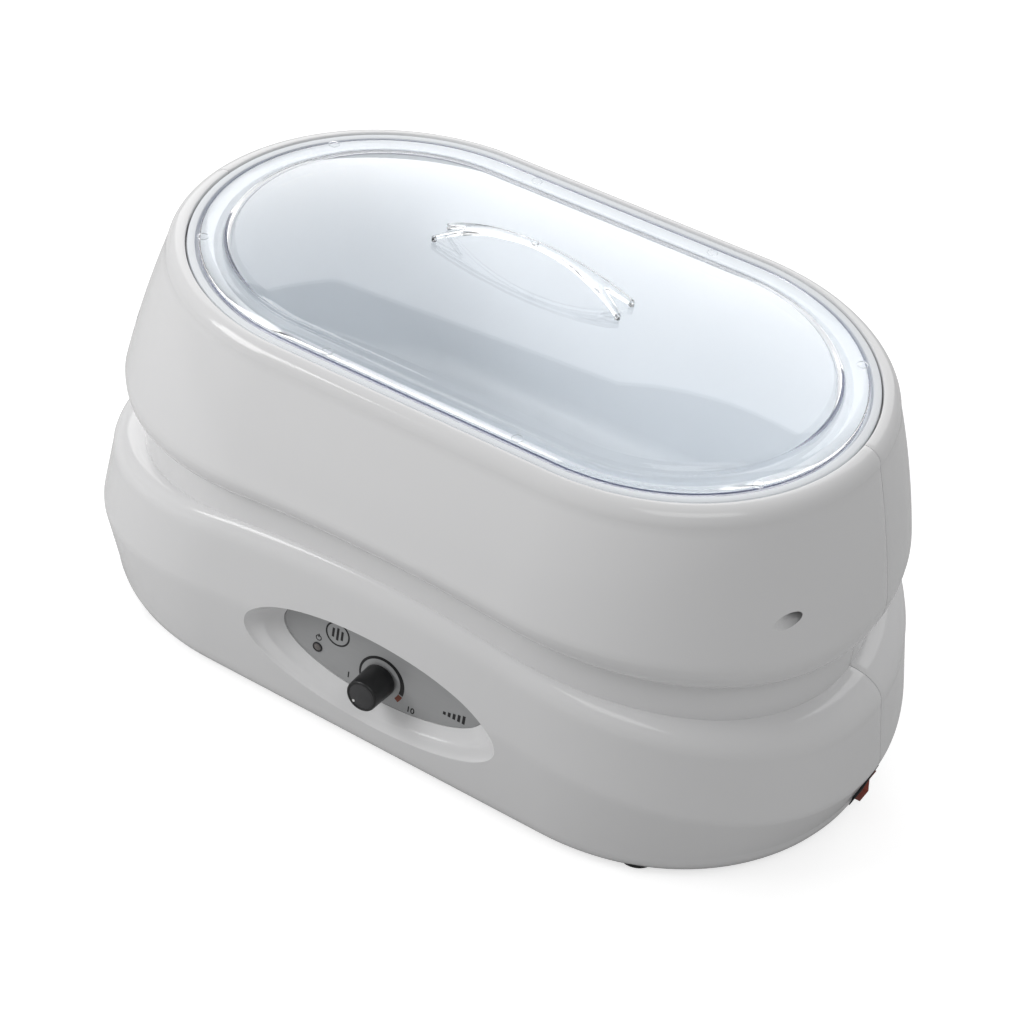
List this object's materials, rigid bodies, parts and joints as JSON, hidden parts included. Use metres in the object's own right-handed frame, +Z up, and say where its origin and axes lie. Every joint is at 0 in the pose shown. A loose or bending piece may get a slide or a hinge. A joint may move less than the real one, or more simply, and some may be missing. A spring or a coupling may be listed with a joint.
{
  "type": "wax warmer",
  "caption": "Racetrack-shaped two-tier wax bath warmer with a clear lift-off domed lid, heated metal basin, heat-control knob, pilot light and mains rocker switch.",
  "frame": {"origin": "centre of the bounding box on the plane the rubber feet stand on", "axes": "+X along the casing towards the mains switch, -Y towards the control panel, +Z up"},
  "size_m": [0.4316, 0.257, 0.2361],
  "materials": {
    "white_plastic": "satin white moulded plastic",
    "base_plastic": "matt off-white plastic",
    "black_rubber": "matt black rubber",
    "screw_steel": "zinc-plated steel",
    "basin_enamel": "white-coated aluminium",
    "gasket_rubber": "grey silicone rubber",
    "clear_plastic": "clear moulded plastic",
    "heater_amber": "amber heater film",
    "felt": "mineral felt",
    "shield_metal": "bare aluminium",
    "bakelite": "brown phenolic",
    "brass": "bare brass",
    "label_silver": "silver-grey satin film",
    "black_plastic": "black plastic",
    "knob_grey": "dark grey plastic",
    "pilot_red": "unlit red lens",
    "rocker_red": "dark orange-red plastic",
    "board_green": "green circuit board",
    "part_blue": "blue component cases",
    "lead_brown": "brown lead insulation",
    "lead_white": "white lead insulation",
    "lead_blue": "blue lead insulation"
  },
  "bodies": {
    "housing": {"front_casing": "white_plastic", "rear_casing": "white_plastic", "base_plate": "base_plastic", "rubber_feet": "black_rubber", "casing_screws": "screw_steel", "base_screws": "screw_steel", "basin": "basin_enamel", "basin_gasket": "gasket_rubber", "heater_film": "heater_amber", "insulation_pad": "felt", "heat_shield": "shield_metal", "shield_posts": "base_plastic", "thermal_cutout": "bakelite", "sensor_probe": "brass", "label_plate": "label_silver", "regulator_body": "black_plastic", "regulator_nut": "screw_steel", "pilot_light": "pilot_red", "switch_frame": "black_plastic", "switch_terminals": "brass", "inlet_socket": "black_plastic", "inlet_pins": "brass", "control_board": "board_green", "board_posts": "base_plastic", "board_parts": "part_blue", "heat_sink": "shield_metal", "mains_leads": "lead_brown", "heater_leads": "lead_white", "signal_leads": "lead_blue"},
    "cover": {"lid": "clear_plastic", "lid_handle": "clear_plastic"},
    "dial": {"knob": "knob_grey", "regulator_shaft": "shield_metal"},
    "power_rocker": {"switch_rocker": "rocker_red"}
  },
  "joints": [
    {"name": "lid_lift", "type": "slide", "parent": "housing", "child": "cover", "axis": [0, 0, 1], "range_m": [0, 0.15]},
    {"name": "heat_control", "type": "hinge", "parent": "housing", "child": "dial", "pos_m": [0.003, -0.109, 0.0495], "axis": [0, 0.9945, -0.1045], "range_deg": [0, 270]},
    {"name": "power_switch", "type": "hinge", "parent": "housing", "child": "power_rocker", "pos_m": [0.20696, 0, 0.0166], "axis": [0.2756, 0, 0.9613], "range_deg": [-18, 0]}
  ]
}
